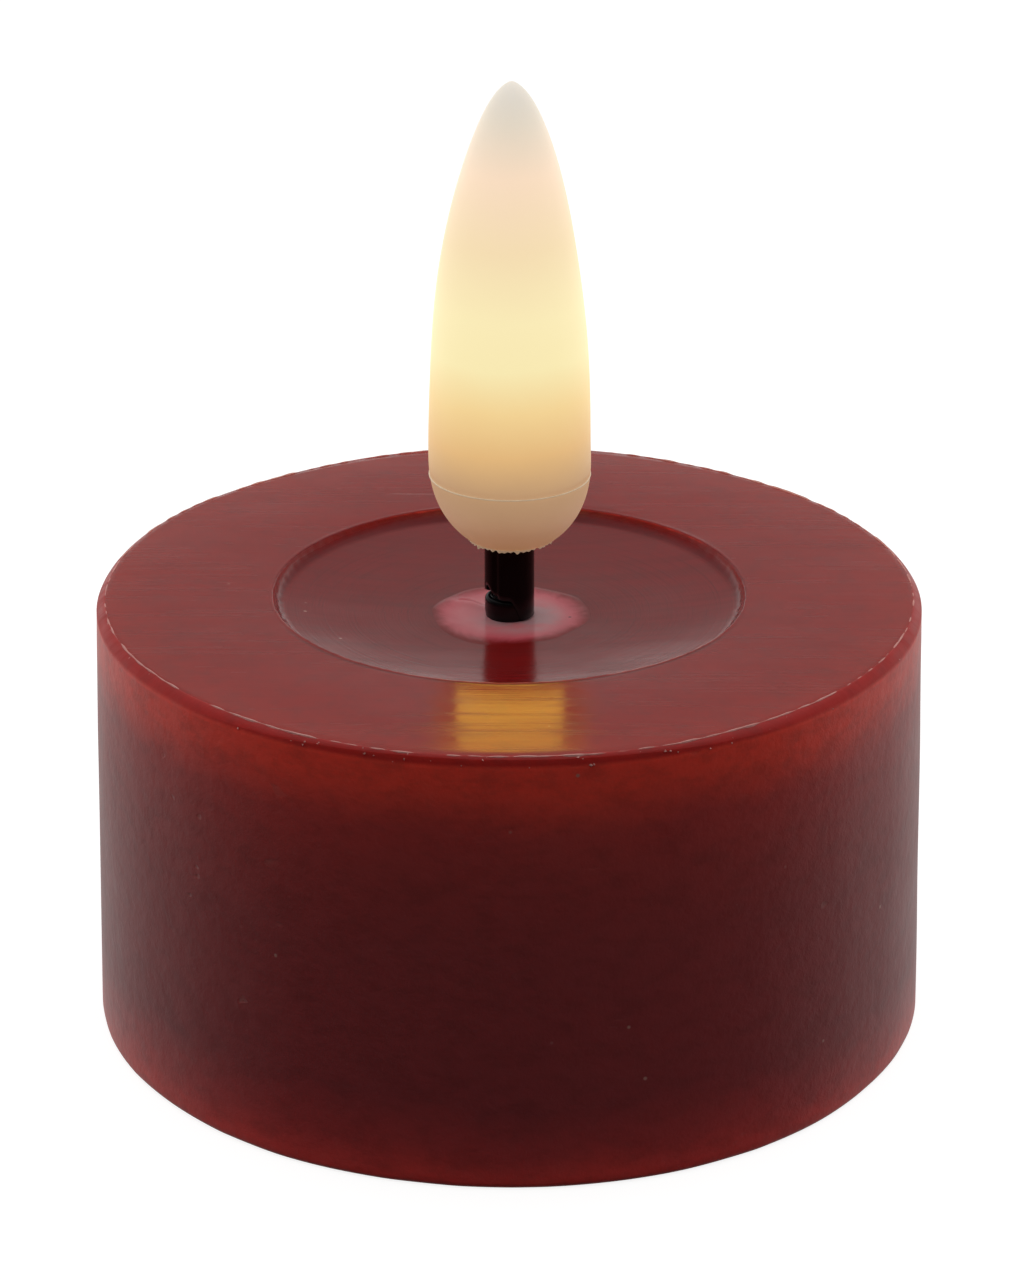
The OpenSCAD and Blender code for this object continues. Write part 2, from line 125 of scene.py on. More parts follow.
def add_mesh(name, points, faces, material):
    """A smooth-shaded mesh object with one material."""
    mesh = bpy.data.meshes.new(name)
    mesh.from_pydata([tuple(p) for p in points], [], faces)
    mesh.validate()
    mesh.shade_smooth()
    mesh.materials.append(material)
    piece = bpy.data.objects.new(name, mesh)
    bpy.context.scene.collection.objects.link(piece)
    return piece


def lathe(name, profile, sides, material, closed=False, shape=None):
    """Turns a profile of (r, z) about Z. A profile that starts or ends at r 0 gets a pole there,
    and a closed one joins its last point to its first. shape moves the array of points."""
    rings = [p for p in profile if p[0] > ON_AXIS]
    angles = np.arange(sides) * TURN / sides
    r = np.array([p[0] for p in rings])[:, None]
    z = np.array([p[1] for p in rings])[:, None]
    points = around(r, z, angles).reshape(-1, 3)
    faces = ring_faces(len(rings), sides, closed)
    for end, ring in ((profile[0], 0), (profile[-1], len(rings) - 1)):
        if end[0] > ON_AXIS:
            continue
        points = np.vstack([points, [0, 0, end[1]]])
        pole = len(points) - 1
        for j in range(sides):
            edge = (ring * sides + j, ring * sides + (j + 1) % sides)
            faces.append((pole, edge[1], edge[0]) if ring == 0 else (pole, *edge))
    if shape is not None:
        points = shape(points)
    return add_mesh(name, points, faces, material)


def waves(angle, seed, amount, counts):
    """A sum of sine waves round a ring, with random phases, about as high as amount."""
    rng = np.random.default_rng(seed)
    total = np.zeros_like(angle)
    for count in counts:
        total += np.sin(count * angle + rng.uniform(0, TURN)) * rng.uniform(0.5, 1)
    return total * amount / math.sqrt(len(counts))


def lumps(points, scale, seed):
    """Smooth noise from -1 to 1 at each point, with lumps about as wide as scale."""
    offset = Vector((seed * 7.3, seed * 3.1, seed * 1.7))
    return np.array([noise.noise(Vector(p) / scale + offset) for p in points])


def bell(value, centre, width):
    """1 at the centre, falling to 0 on both sides."""
    return np.exp(-(((value - centre) / width) ** 2))


def bell_at(angle, degrees, width):
    """A bell round the ring, centred at an angle in degrees, with its width in radians."""
    return bell(np.angle(np.exp(1j * (angle - math.radians(degrees)))), 0, width)


def smooth(value, low, high):
    """0 below low, 1 above high, and smooth between them."""
    t = np.clip((value - low) / (high - low), 0, 1)
    return t * t * (3 - 2 * t)


# Materials --------------------------------------------------------------------------------


class Graph:
    """Builds the nodes of one material, in the object's own coordinates."""

    def __init__(self, name):
        self.material = bpy.data.materials.new(name)
        self.material.use_nodes = True
        self.tree = self.material.node_tree
        self.shader = self.tree.nodes["Principled BSDF"]
        self.place = self.add("ShaderNodeTexCoord").outputs["Object"]

    def add(self, kind, inputs=None, **settings):
        made = self.tree.nodes.new(kind)
        for key, value in settings.items():
            setattr(made, key, value)
        for key, value in (inputs or {}).items():
            self.feed(made.inputs[key], value)
        return made

    def feed(self, socket, value):
        if isinstance(value, bpy.types.NodeSocket):
            self.tree.links.new(value, socket)
        else:
            socket.default_value = value

    def set(self, **inputs):
        for key, value in inputs.items():
            self.feed(self.shader.inputs[key.replace("_", " ")], value)
        return self

    def math(self, operation, a, b=0.0, clamp=False):
        made = self.add("ShaderNodeMath", {0: a, 1: b}, operation=operation, use_clamp=clamp)
        return made.outputs[0]

    def times(self, a, b):
        return self.math("MULTIPLY", a, b)

    def both(self, *masks):
        """The product of two or more masks."""
        total = masks[0]
        for mask in masks[1:]:
            total = self.times(total, mask)
        return total

    def xyz(self):
        return self.add("ShaderNodeSeparateXYZ", {0: self.place}).outputs

    def radius(self, x, y):
        squares = self.math("ADD", self.times(x, x), self.times(y, y))
        return self.math("SQRT", squares)

    def step(self, value, low, high):
        """0 below low, 1 above high, smooth between; falls instead if low is above high."""
        made = self.add(
            "ShaderNodeMapRange",
            {"Value": value, "From Min": low, "From Max": high},
            interpolation_type="SMOOTHSTEP",
        )
        return made.outputs[0]

    def stretched(self, x, y, z):
        made = self.add("ShaderNodeVectorMath", {0: self.place, 1: (x, y, z)}, operation="MULTIPLY")
        return made.outputs[0]

    def noise(self, scale, detail=3.0, roughness=0.5, vector=None, distortion=0.0):
        made = self.add(
            "ShaderNodeTexNoise",
            {
                "Vector": vector or self.place,
                "Scale": scale,
                "Detail": detail,
                "Roughness": roughness,
                "Distortion": distortion,
            },
        )
        return made.outputs["Fac"]

    def spots(self, scale, size):
        """1 in small round spots, one for each cell of the given scale, and 0 elsewhere."""
        made = self.add("ShaderNodeTexVoronoi", {"Vector": self.place, "Scale": scale})
        return self.step(made.outputs["Distance"], size, size * 0.4)

    def ramp(self, value, stops):
        made = self.add("ShaderNodeValToRGB", {"Fac": value})
        band = made.color_ramp
        while len(band.elements) < len(stops):
            band.elements.new(0.5)
        for element, (place, colour) in zip(band.elements, stops):
            element.position = place
            element.color = (*colour, 1)
        return made.outputs["Color"]

    def mix(self, share, a, b):
        made = self.add("ShaderNodeMix", data_type="RGBA")
        self.feed(made.inputs[0], share)
        for socket, value in ((made.inputs[6], a), (made.inputs[7], b)):
            self.feed(socket, (*value, 1) if isinstance(value, tuple) else value)
        return made.outputs[2]

    def over(self, colour, mask, amount, shade):
        """The colour with a shade laid over it where the mask is 1, as strongly as amount."""
        return self.mix(self.times(mask, amount), colour, shade)

    def bump(self, height, distance, under=None):
        """A bump that is distance high, in metres, laid over another one."""
        made = self.add("ShaderNodeBump", {"Height": height, "Distance": distance, "Strength": 1.0})
        if under is not None:
            self.feed(made.inputs["Normal"], under)
        return made.outputs[0]


def wax_red_and_painted_light(g, r, height, flat):
    """Red by height on the wall, mottled by clouds, with painted shade where the black module stands
    behind it and painted light at the foot and the rim; and red by radius on the top, painted lighter
    towards the rim.
    """
    mottled = g.times(g.math("SUBTRACT", g.noise(160, 3, 0.55), 0.5), 0.10)
    # Painted light and shade: darkest where the module stands behind the wall, painted lighter towards
    # the foot and brightest just under the rim, as light coming through the wax
    wall = g.ramp(
        g.math("ADD", height, mottled),
        [
            (0.02, (0.700, 0.060, 0.055)),
            (0.09, (0.450, 0.048, 0.050)),
            (0.20, (0.290, 0.042, 0.047)),
            (0.55, (0.310, 0.046, 0.049)),
            (0.72, (0.370, 0.048, 0.048)),
            (0.83, (0.460, 0.050, 0.047)),
            (0.93, (0.860, 0.070, 0.045)),
        ],
    )
    # Painted light: the top grows lighter out towards the rim, as if lit through the thin wax there
    top = g.ramp(
        g.math("DIVIDE", r, RIM_R),
        [
            (0.20, SETTLED),
            (0.54, (0.198, 0.009, 0.010)),
            (0.58, (0.242, 0.010, 0.008)),
            (0.85, (0.262, 0.012, 0.009)),
            (0.98, (0.300, 0.017, 0.011)),
        ],
    )
    return g.mix(flat, wall, top)


def well_edge(g, colour, r, in_front):
    """A broken pale line on the edge of the well, and a painted shadow line outside it, as of a groove
    that the mesh does not have.
    """
    start, end = WELL_R, WELL_R + 0.2 * MM
    line_mask = g.both(g.step(r, start, start + 0.05 * MM), g.step(r, end, end - 0.1 * MM))
    broken = g.step(g.noise(300, 2), 0.40, 0.56)
    colour = g.over(colour, g.both(line_mask, in_front, broken), 0.6, (0.50, 0.27, 0.25))
    # Painted shadow: a dark line outside the pale one, at the front only
    start, end = WELL_R + 0.18 * MM, WELL_R + 0.45 * MM
    shadow_line = g.both(g.step(r, start, start + 0.07 * MM), g.step(r, end, end - 0.15 * MM))
    return g.over(colour, g.both(shadow_line, in_front), 0.5, (0.07, 0.003, 0.003))


def wax_material():
    """Dark red wax. Its wall has painted shade where the black module stands behind it and painted
    light at the rim and the foot. The top is painted lighter towards the rim, the bevel has a painted
    glow, the well's inner lip has painted shade, and a painted shadow line lies outside the well's
    front edge. The well and the rim have the marks of the tool that cut them."""
    g = Graph("wax_red_and_painted_light")
    x, y, z = g.xyz()
    r = g.radius(x, y)
    upright = g.add("ShaderNodeNewGeometry").outputs["Normal"]
    facing = g.add("ShaderNodeSeparateXYZ", {0: upright}).outputs[2]
    flat = g.step(facing, 0.35, 0.8)
    height = g.math("DIVIDE", z, TOP_Z)
    on_top = g.step(r, WELL_R, WELL_R + 0.3 * MM)
    in_front = g.times(flat, g.step(y, -3 * MM, -8 * MM))

    # Painted shade: a dark band on the well's steep inner lip, just inside its edge
    inside = g.step(r, WELL_R + 0.1 * MM, WELL_R)
    lip = g.both(inside, g.step(r, WELL_R - 0.55 * MM, WELL_R - 0.3 * MM))
    colour = g.over(wax_red_and_painted_light(g, r, height, flat), lip, 0.85, (0.16, 0.003, 0.006))
    # Painted light: the bevel round the rim is a brighter red, a glow like the one at the top of the
    # wall
    at_rim = g.both(g.step(r, RIM_R - 0.6 * MM, RIM_R - 0.4 * MM), g.step(height, 0.972, 0.985))
    bevel = g.both(at_rim, g.step(facing, 0.98, 0.93))
    colour = g.over(colour, bevel, 0.9, (0.43, 0.011, 0.009))

    bloom = g.step(g.noise(90, 4, 0.6), 0.55, 0.9)
    colour = g.over(colour, bloom, 0.22, (0.30, 0.09, 0.08))
    dust = g.both(g.spots(480, 0.06), g.step(g.noise(70, 1), 0.52, 0.60))
    colour = g.over(colour, dust, 0.8, (0.50, 0.26, 0.22))

    scratches = g.step(g.noise(1, 2, 0.5, g.stretched(60, 900, 900)), 0.68, 0.74)
    scratches = g.both(scratches, g.step(g.noise(120, 2), 0.55, 0.65))
    colour = g.over(colour, scratches, 0.35, (0.40, 0.15, 0.13))
    streaks = g.both(g.step(g.noise(1, 4, 0.7, g.stretched(60, 1500, 60)), 0.40, 0.66), flat)
    stain = g.math("SUBTRACT", 0.26, g.times(on_top, 0.16))
    colour = g.over(colour, streaks, stain, (0.10, 0.005, 0.005))
    colour = well_edge(g, colour, r, in_front)
    grain = g.step(g.noise(1, 4, 0.7, g.stretched(600, 600, 1100)), 0.40, 0.70)
    colour = g.over(colour, grain, 0.22, (0.10, 0.02, 0.02))

    angle = g.math("ARCTAN2", y, x)
    rings_per_m = 9000
    ring_place = g.add("ShaderNodeCombineXYZ", {0: g.times(r, rings_per_m), 1: angle, 2: 0.0})
    turned = g.noise(1, 2, 0.6, ring_place.outputs[0])
    in_dish = g.step(r, WELL_R - 0.3 * MM, WELL_R - 0.6 * MM)
    rings = g.both(g.step(turned, 0.52, 0.70), in_dish)
    colour = g.over(colour, rings, 0.32, (0.08, 0.005, 0.006))

    cut = g.noise(1, 3, 0.6, g.stretched(90, 5200, 90))
    in_well = g.step(r, WELL_R + 0.2 * MM, WELL_R - 0.2 * MM)
    tool = g.both(g.mix(in_well, cut, turned), flat)
    skin = g.times(g.noise(1300, 4, 0.65), g.math("SUBTRACT", 1.2, flat))
    relief = g.bump(skin, 0.034 * MM)
    relief = g.bump(g.noise(180, 2, 0.5), 0.05 * MM, relief)
    relief = g.bump(tool, 0.009 * MM, relief)
    relief = g.bump(scratches, -0.02 * MM, relief)

    rough = g.math("ADD", g.times(g.noise(350, 3, 0.6), 0.12), g.times(flat, -0.20))
    drag = g.math("ADD", g.times(on_top, 0.10), 0.06)
    for more in (g.times(streaks, drag), g.times(bevel, 0.2), 0.28):
        rough = g.math("ADD", rough, more)
    g.set(Base_Color=colour, Roughness=rough, Normal=relief, IOR=1.44)
    g.set(Subsurface_Weight=0.25, Subsurface_Radius=(1.0, 0.12, 0.1), Subsurface_Scale=1.6 * MM)
    return g.material


def plug_material():
    """The pale pink wax round the wick, milky next to it, and clear red where it thins out."""
    g = Graph("wax_pink")
    x, y, _ = g.xyz()
    r = g.radius(x, y)
    patches = g.noise(420, 4, 0.6, distortion=0.6)
    uneven = g.math("SUBTRACT", patches, 0.5)
    outward = g.math("ADD", g.step(r, 2.0 * MM, 3.4 * MM), uneven, clamp=True)
    pink = g.mix(outward, (0.66, 0.20, 0.23), (0.56, 0.095, 0.125))
    shifted = g.math("ADD", r, g.times(uneven, 1.3 * MM))
    edge = g.step(shifted, SEAL_R - 0.15 * MM, SEAL_R - 1.15 * MM)
    colour = g.mix(edge, SETTLED, pink)
    beside = g.radius(g.math("SUBTRACT", x, 0.5 * MM), g.math("ADD", y, 0.3 * MM))
    milk = g.both(g.step(beside, 2.7 * MM, 1.2 * MM), g.step(patches, 0.30, 0.58))
    colour = g.over(colour, milk, 0.75, (0.46, 0.31, 0.33))
    specks = g.both(g.spots(1500, 0.16), g.step(g.noise(500, 1), 0.52, 0.58))
    colour = g.over(colour, specks, g.step(x, 1.4 * MM, 1.8 * MM), (0.10, 0.03, 0.04))
    g.set(Base_Color=colour, Roughness=g.math("ADD", g.times(patches, 0.12), 0.12), IOR=1.44)
    g.set(Normal=g.bump(g.noise(1100, 4, 0.6), 0.008 * MM))
    g.set(Subsurface_Weight=0.25, Subsurface_Radius=(1.0, 0.3, 0.3), Subsurface_Scale=0.8 * MM)
    return g.material


def flame_material():
    """Milky moulded plastic, lit from inside: brightest round the lamp's dome, amber at the lamp's
    body and dull at the bowl."""
    g = Graph("flame_glow")
    _, _, z = g.xyz()
    cloud = g.times(g.math("SUBTRACT", g.noise(260, 3, 0.55), 0.5), 0.03)
    up = g.math("DIVIDE", g.math("SUBTRACT", z, FLAME_FOOT_Z), TIP_Z - FLAME_FOOT_Z)
    glow = g.ramp(
        g.math("ADD", up, cloud),
        [
            (0.00, (0.20, 0.105, 0.035)),
            (0.08, (0.29, 0.160, 0.080)),
            (0.17, (0.46, 0.275, 0.145)),
            (0.26, (0.73, 0.450, 0.185)),
            (0.35, (0.86, 0.620, 0.275)),
            (0.44, (0.91, 0.790, 0.425)),
            (0.54, (0.92, 0.800, 0.450)),
            (0.68, (0.87, 0.690, 0.420)),
            (0.82, (0.86, 0.650, 0.470)),
            (0.93, (0.62, 0.55, 0.45)),
            (1.00, (0.50, 0.48, 0.44)),
        ],
    )
    low = g.step(z, SEAM_Z, SEAM_Z - 2 * MM)
    high = g.step(z, FLAME_WIDE_Z + 10 * MM, TIP_Z)
    specks = g.both(g.spots(900, 0.07), g.step(g.noise(200, 1), 0.62, 0.66), low)
    body = g.mix(low, g.mix(high, (0.17, 0.16, 0.14), (0.46, 0.42, 0.37)), (0.60, 0.55, 0.50))
    body = g.over(body, specks, 0.8, (0.35, 0.03, 0.02))
    g.set(Base_Color=body, Roughness=0.42, IOR=1.43)
    g.set(Emission_Color=glow, Emission_Strength=1.0)
    g.set(Normal=g.bump(g.noise(1500, 3, 0.5), 0.006 * MM, g.bump(g.noise(240, 2), 0.05 * MM)))
    g.set(Subsurface_Weight=0.4, Subsurface_Radius=(1.0, 0.75, 0.5), Subsurface_Scale=1.0 * MM)
    return g.material


def lip_material():
    """The pale, thin moulding flash at the seam and the foot of the flame."""
    g = Graph("flame_flash")
    body = g.mix(g.noise(900, 3), (0.66, 0.58, 0.46), (0.80, 0.74, 0.62))
    g.set(Base_Color=body, Roughness=0.35)
    g.set(Emission_Color=(0.20, 0.15, 0.09, 1), Emission_Strength=1.0)
    g.set(Normal=g.bump(g.noise(2500, 3), 0.01 * MM))
    return g.material


def black_material():
    """Glossy black sleeve, faintly drawn along its length."""
    g = Graph("wick_black")
    drawn = g.noise(1, 3, 0.6, g.stretched(4500, 4500, 300))
    colour = g.mix(drawn, (0.002, 0.002, 0.0025), (0.006, 0.006, 0.007))
    g.set(Base_Color=colour, Roughness=g.math("ADD", g.times(drawn, 0.10), 0.12), IOR=1.28)
    g.set(Normal=g.bump(drawn, 0.002 * MM, g.bump(g.noise(500, 2), 0.03 * MM)))
    return g.material


def moulded_material(name, dark, light, roughness, grain=3200):
    """Moulded plastic with a fine spark-eroded grain, faint flow marks and rubbed, paler spots."""
    g = Graph(name)
    flow = g.noise(130, 3, 0.5, distortion=1.2)
    fine = g.noise(grain, 2, 0.7)
    rubbed = g.step(g.noise(420, 4, 0.65), 0.50, 0.75)
    paler = tuple(min(1.0, c * 1.9 + 0.01) for c in light)
    colour = g.over(g.mix(flow, dark, light), rubbed, 0.4, paler)
    level = g.math("ADD", g.times(fine, 0.12), roughness - 0.06)
    level = g.math("SUBTRACT", level, g.times(rubbed, 0.12))
    g.set(Base_Color=colour, Roughness=level, IOR=1.49)
    g.set(Normal=g.bump(fine, 0.016 * MM, g.bump(flow, 0.04 * MM)))
    return g.material


def metal_material(name, dark, light, roughness, along=(300, 6000, 6000)):
    """Plated or rolled metal with a fine grain along one way, and dull patches."""
    g = Graph(name)
    brushed = g.noise(1, 3, 0.6, g.stretched(*along))
    dull = g.step(g.noise(500, 4, 0.6), 0.45, 0.75)
    colour = g.over(g.mix(brushed, dark, light), dull, 0.35, tuple(c * 0.72 for c in dark))
    level = g.math("ADD", g.times(brushed, 0.14), g.times(dull, 0.14))
    g.set(Base_Color=colour, Metallic=1.0, Roughness=g.math("ADD", level, roughness))
    g.set(Normal=g.bump(brushed, 0.004 * MM))
    return g.material


def board_material():
    """Green solder mask over a woven laminate, with copper tracks just showing."""
    g = Graph("board_green")
    weave = g.noise(1, 2, 0.4, g.stretched(5200, 700, 700))
    cross = g.noise(1, 2, 0.4, g.stretched(700, 5200, 700))
    cloth = g.times(g.math("ADD", weave, cross), 0.5)
    cells = g.add("ShaderNodeTexVoronoi", {"Vector": g.place, "Scale": 360.0}, distance="MANHATTAN")
    tracks = g.step(cells.outputs["Distance"], 0.42, 0.46)
    colour = g.mix(cloth, (0.012, 0.11, 0.035), (0.03, 0.20, 0.07))
    colour = g.over(colour, tracks, 0.6, (0.06, 0.32, 0.10))
    g.set(Base_Color=colour, Roughness=0.3, Coat_Weight=0.4, Coat_Roughness=0.12)
    g.set(Normal=g.bump(tracks, 0.02 * MM, g.bump(cloth, 0.006 * MM)))
    return g.material


def lens_material():
    """Clear, slightly yellow lamp epoxy."""
    g = Graph("lamp_epoxy")
    haze = g.noise(900, 3)
    g.set(Base_Color=g.mix(haze, (1.0, 0.90, 0.62), (1.0, 0.96, 0.76)), Roughness=0.08, IOR=1.53)
    g.set(Transmission_Weight=0.9)
    return g.material


def chip_material():
    """The lit, phosphor-coated chip."""
    g = Graph("lamp_phosphor")
    grain = g.noise(9000, 2)
    g.set(Base_Color=g.mix(grain, (1.0, 0.72, 0.15), (1.0, 0.86, 0.35)), Roughness=0.6)
    g.set(Emission_Color=(1.0, 0.70, 0.25, 1), Emission_Strength=2.0)
    return g.material


# Wax --------------------------------------------------------------------------------------


def dish_z(r):
    """Height of the well's floor at radius r."""
    return TOP_Z - WELL_DEPTH + (WELL_DEPTH - WELL_LIP) * (r / WELL_R) ** DISH_POWER


def rim_bevel(angle):
    """Size of the torn bevel round the rim: smallest at the front and the back."""
    side = smooth(np.abs(np.cos(angle)), 0.2, 0.75)
    size = 0.13 * MM + 0.31 * MM * side + waves(angle, 15, 0.035 * MM, (3, 5, 8))
    return np.clip(size + waves(angle, 16, 0.006 * MM, (21, 34, 47, 60)), 0.08 * MM, RIM_BEVEL)


def wall_shift(points, angle):
    """How far hand work has moved the wall in or out."""
    wobble = waves(angle, 3, 0.045 * MM, (2, 3, 5, 7)) + waves(angle, 5, 0.010 * MM, (13, 19, 26))
    return wobble + lumps(points, 9 * MM, 2) * 0.06 * MM


def shape_wax(points):
    """Hand-cut wax: a slightly uneven wall, a torn bevel at the rim, a crowned top, a burr round
    the well and a worn foot."""
    r, angle = polar(points)
    z = points[:, 2].copy()
    share = rim_bevel(angle) / RIM_BEVEL
    margin = 0.01 * MM
    at_rim = (r > RIM_R - RIM_BEVEL - margin) & (z > TOP_Z - RIM_BEVEL - margin)
    moved_r = np.where(at_rim, RIM_R - (RIM_R - r) * share, r)
    z = np.where(at_rim, TOP_Z - (TOP_Z - z) * share, z)
    outer = smooth(r, RIM_R - 1.2 * MM, RIM_R - 0.2 * MM)
    moved_r = moved_r + outer * wall_shift(points, angle)
    annulus = smooth(z, TOP_Z - 0.3 * MM, TOP_Z) * smooth(r, WELL_R, WELL_R + 0.5 * MM)
    crown = annulus * np.sin(np.clip((r - WELL_R) / (RIM_R - WELL_R), 0, 1) * math.pi) * 0.07 * MM
    uneven = annulus * lumps(points, 6 * MM, 7) * 0.035 * MM
    ragged = 0.030 + np.abs(waves(angle, 25, 0.02, (23, 41, 67, 97)))
    at_edge = bell(r, WELL_R + 0.11 * MM, 0.07 * MM) * (z > TOP_Z - 0.02 * MM)
    burr = at_edge * ragged * (0.3 + 0.7 * smooth(-np.sin(angle), 0.2, 0.8)) * MM
    near_well = bell(r, WELL_R, 0.5 * MM) * smooth(z, TOP_Z - WELL_DEPTH, TOP_Z - WELL_LIP)
    wander = waves(angle, 21, 0.05 * MM, (2, 3, 5, 9)) + waves(angle, 23, 0.012 * MM, (37, 58, 91))
    moved_r += near_well * wander
    in_dish = smooth(r, WELL_R, WELL_R - 1.5 * MM) * smooth(z, CAVITY_TOP + 1 * MM, CAVITY_TOP + 2 * MM)
    dish = in_dish * lumps(points, 3.5 * MM, 11) * 0.03 * MM
    foot = smooth(z, 0.5 * MM, 0) * outer
    moved_r -= foot * np.abs(waves(angle, 31, 0.03 * MM, (7, 11, 17, 26)))
    scale = moved_r / np.maximum(r, ON_AXIS)
    points[:, 0] *= scale
    points[:, 1] *= scale
    points[:, 2] = z + crown + uneven + burr + dish
    return points


def build_wax(material):
    """The wax body as one closed solid with its cavity below, in place of the plain CAD node."""
    foot_round, well_round = 0.35 * MM, 0.08 * MM
    bevel_start = RIM_R - RIM_BEVEL
    # A shallow arc that bulges a little: it spans one bevel both ways, from a centre two bevels in
    bevel_centre = (bevel_start - RIM_BEVEL, TOP_Z - RIM_BEVEL * 2)
    bevel = arc(*bevel_centre, RIM_BEVEL * math.sqrt(5), 27, 63, 8)
    edge_end = WELL_R + 0.5 * MM
    hole_r = PLUG_R - 0.9 * MM
    dish_r = WELL_R - 0.3 * MM
    dish = [(r, dish_z(r)) for r in np.linspace(dish_r, hole_r, 22)]
    profile = (
        line((CAVITY_R, 0), (FOOT_R - foot_round, 0), 6)
        + arc(FOOT_R - foot_round, foot_round, foot_round, -90, 0, 6)
        + line((FOOT_R - 0.007 * MM, 0.7 * MM), (RIM_R + 0.02 * MM, TOP_Z - 1.0 * MM), 26)
        + line((RIM_R + 0.01 * MM, TOP_Z - 1.0 * MM), (RIM_R, TOP_Z - RIM_BEVEL), 4)
        + bevel
        + line((bevel_start - 0.1 * MM, TOP_Z), (edge_end, TOP_Z), 24)
        + line((edge_end, TOP_Z), (WELL_R + well_round, TOP_Z), 8)
        + arc(WELL_R + well_round, TOP_Z - well_round, well_round, 90, 180, 4)
        + dish
        + [(hole_r, PLUG_LOW.z), (hole_r, CAVITY_TOP)]
        + line((hole_r + 1 * MM, CAVITY_TOP), (CAVITY_R, CAVITY_TOP), 8)
        + line((CAVITY_R, CAVITY_TOP), (CAVITY_R, 0), 8)
    )
    piece = lathe("wax_body", profile, 640, material, closed=True, shape=shape_wax)
    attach(piece, "candle")
    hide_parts("wax_shell")


def build_plug(material):
    """The seal of paler wax: a thin uneven puddle that feathers out on the floor of the well."""
    edge_r = PLUG_R + 0.4 * MM
    bore = POST_R - 0.12 * MM

    def shape(points):
        r, angle = polar(points)
        upper = smooth(points[:, 2], TOP_Z - WELL_DEPTH - 0.3 * MM, TOP_Z - WELL_DEPTH - 0.1 * MM)
        reach = SEAL_R + waves(angle, 41, 0.12 * MM, (2, 3, 5, 8))
        puddle = smooth(r, reach, reach - 0.5 * MM)
        film = puddle * 0.05 * MM - 0.02 * MM
        ripple = lumps(points, 0.8 * MM, 13) * 0.015 * MM * puddle
        ridge = bell_at(angle, 150, 0.2) * bell(r, 2.3 * MM, 0.8 * MM)
        points[:, 2] += upper * (film + ripple + ridge * 0.2 * MM)
        return points

    low = TOP_Z - WELL_DEPTH - 0.6 * MM
    profile = (
        [(bore, low), (edge_r - 0.3 * MM, low), (edge_r, dish_z(edge_r) - 0.1 * MM)]
        + [(r, dish_z(r)) for r in np.linspace(edge_r, bore, 48)]
    )
    piece = lathe("wax_seal", profile, 192, material, closed=True, shape=shape)
    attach(piece, "candle")
    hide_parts("wax_plug")


def build_rim_flash(material):
    """The burr that the cutter left along the upper edge of the bevel, and a few crumbs of wax."""
    sides = 1400
    rng = np.random.default_rng(17)
    angle = np.arange(sides) * TURN / sides
    seat = RIM_R + wall_shift(around(RIM_R, TOP_Z, angle), angle)
    tear = waves(angle, 51, 1.0, (11, 17, 29, 47, 71, 113))
    stands = smooth(tear, -1.2, 1.1)
    tall = (0.065 * stands - 0.01) * MM
    wide = (0.025 + 0.045 * stands) * MM
    crest_r = seat - rim_bevel(angle) + waves(angle, 57, 0.015 * MM, (29, 61, 97))
    sunk = TOP_Z - 0.06 * MM
    rings = [
        (crest_r + wide, sunk),
        (crest_r + wide * 0.7, TOP_Z + tall * 0.6),
        (crest_r, TOP_Z + tall),
        (crest_r - wide, TOP_Z - 0.02 * MM),
        (crest_r - wide, sunk),
    ]
    points = np.vstack([around(r, z, angle) for r, z in rings])
    faces = ring_faces(len(rings), sides)
    # Each crumb is a battered octahedron: these are its eight sides, round its two poles, 2 and 5
    upper_sides = ((0, 1, 2), (1, 3, 2), (3, 4, 2), (4, 0, 2))
    lower_sides = ((1, 0, 5), (3, 1, 5), (4, 3, 5), (0, 4, 5))
    crumbs = 70
    for _ in range(crumbs):
        place = rng.uniform(1.05, 1.95) * math.pi
        size = rng.uniform(0.03, 0.07) * MM
        drop = rng.uniform(0.0, 0.5) * MM
        away = np.array([math.cos(place), math.sin(place), 0])
        at_wall = np.array([away * RIM_R + (0, 0, TOP_Z)])
        wall_r = RIM_R + wall_shift(at_wall, np.array([place]))[0]
        cut = max(0.0, rim_bevel(np.array([place]))[0] - drop)
        at = away * (wall_r - cut) + (0, 0, TOP_Z - drop)
        first = len(points)
        corners = rng.normal(size=(6, 3)) * 0.3 + np.vstack([np.eye(3), -np.eye(3)])
        points = np.vstack([points, at + corners * size])
        faces += [tuple(first + i for i in side) for side in upper_sides + lower_sides]
    piece = add_mesh("rim_flash", points, faces, material)
    piece.data.shade_flat()
    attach(piece, "candle")


def flash_material():
    """Torn wax at the rim, paler than the body because it is thin."""
    g = Graph("wax_flash")
    torn = g.noise(2600, 3, 0.6)
    g.set(Base_Color=g.mix(torn, (0.50, 0.12, 0.11), (0.78, 0.46, 0.42)), Roughness=0.5, IOR=1.44)
    g.set(Normal=g.bump(torn, 0.02 * MM))
    return g.material


# Wick -------------------------------------------------------------------------------------


def build_sleeve(material):
    """The wick's sleeve: creased along its left, nicked at its lower left and longer at its right."""
    wall = 0.27 * MM
    low, high = SLEEVE_LOW.z, SLEEVE_HIGH.z

    def shape(points):
        r, angle = polar(points)
        scale = 1 - bell_at(angle, 236, 0.10) * 0.10 * MM / r
        points[:, 0] *= scale
        points[:, 1] *= scale
        nick = bell_at(angle, 205, 0.42)
        right = smooth(np.cos(angle), 0.0, 0.6)
        end = smooth(points[:, 2], low + 1.6 * MM, low)
        points[:, 2] += end * (nick * 0.62 * MM - right * 1.08 * MM)
        return points

    outer = [(SLEEVE_R, z) for z in np.linspace(low + 0.06 * MM, high, 20)]
    inner = [(SLEEVE_R - wall, z) for z in np.linspace(high, low, 20)]
    profile = outer + inner + [(SLEEVE_R - 0.07 * MM, low)]
    piece = lathe("wick_sleeve", profile, 96, material, closed=True, shape=shape)
    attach(piece, "candle")
    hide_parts("stem_sleeve")


